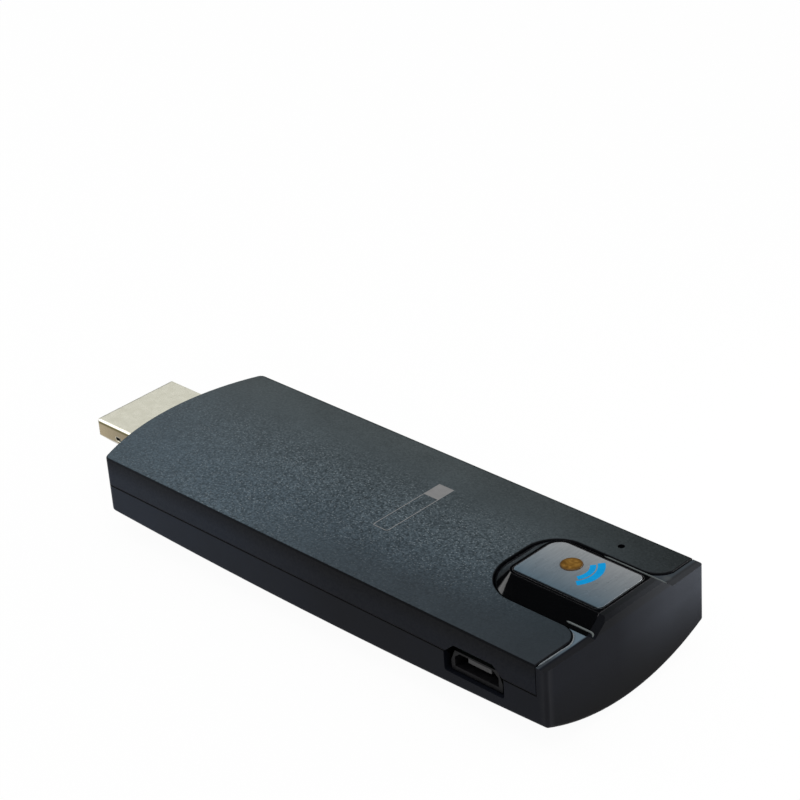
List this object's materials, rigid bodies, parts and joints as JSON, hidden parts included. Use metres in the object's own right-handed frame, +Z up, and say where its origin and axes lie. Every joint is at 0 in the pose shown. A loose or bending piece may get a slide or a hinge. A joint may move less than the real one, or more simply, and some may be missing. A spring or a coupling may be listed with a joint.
{
  "type": "wireless display dongle",
  "caption": "Flat stick casing with a display plug at one end, a raised mode key with an amber light at the other and a small power inlet on one side.",
  "frame": {"origin": "middle of the outline in plan, at the underside that the stick lies on", "axes": "+X from the display plug to the key end, +Y to the side away from the power inlet, +Z up through the cover"},
  "size_m": [0.0892, 0.029, 0.0141],
  "materials": {
    "satin_shell": "satin moulded plastic",
    "speckled_cover": "fine metallic speckled paint, matt",
    "gloss_black": "polished",
    "grey_face": "smooth, slightly metallic",
    "amber_lens": "translucent amber",
    "nickel": "pale champagne plated",
    "dark_insulator": "matt",
    "gold": "plated",
    "steel": "rolled",
    "board_green": "solder resist",
    "chip_black": "moulded epoxy",
    "pad_blue": "soft",
    "bare_aluminium": "rolled",
    "ferrite": "sintered",
    "ceramic_tan": "ceramic",
    "light_white": "clear epoxy",
    "white_plastic": "moulded",
    "label_grey": "film"
  },
  "bodies": {
    "casing": {"lower_shell": "satin_shell", "top_cover": "speckled_cover", "key_bezel": "gloss_black", "plug_shell": "nickel", "plug_insulator": "dark_insulator", "plug_contacts_upper": "gold", "plug_contacts_lower": "gold", "inlet_shell": "steel", "inlet_tongue": "dark_insulator", "inlet_contacts": "gold", "main_board": "board_green", "board_screws": "steel", "processor": "chip_black", "thermal_pad": "pad_blue", "heat_spreader": "bare_aluminium", "memory_chips": "chip_black", "flash_chip": "chip_black", "power_chip": "chip_black", "inductors": "ferrite", "capacitors": "ceramic_tan", "resistors": "chip_black", "crystals": "steel", "radio_chip": "chip_black", "radio_shield": "nickel", "antennas": "nickel", "status_light": "light_white", "key_switch_body": "dark_insulator", "key_switch_cover": "steel", "reset_switch_body": "dark_insulator", "rating_label": "label_grey"},
    "mode_key": {"mode_key": "gloss_black", "key_face": "grey_face", "indicator_lens": "amber_lens"},
    "key_switch_stem": {"key_switch_stem": "dark_insulator"},
    "reset_switch_stem": {"reset_switch_stem": "white_plastic"}
  },
  "joints": [
    {"name": "mode_key_press", "type": "slide", "parent": "casing", "child": "mode_key", "axis": [0, 0, -1], "range_m": [0, 0.0003], "stiffness_N_per_m": 5000, "springref_m": -0.0001},
    {"name": "key_switch_stem_press", "type": "slide", "parent": "casing", "child": "key_switch_stem", "axis": [0, 0, -1], "range_m": [0, 0.0003]},
    {"name": "reset_switch_press", "type": "slide", "parent": "casing", "child": "reset_switch_stem", "axis": [0, 0, -1], "range_m": [0, 0.00025], "stiffness_N_per_m": 4000, "springref_m": -0.0001}
  ],
  "couplings": [
    {"joint": "key_switch_stem_press", "follows": "mode_key_press", "ratio": 1}
  ]
}
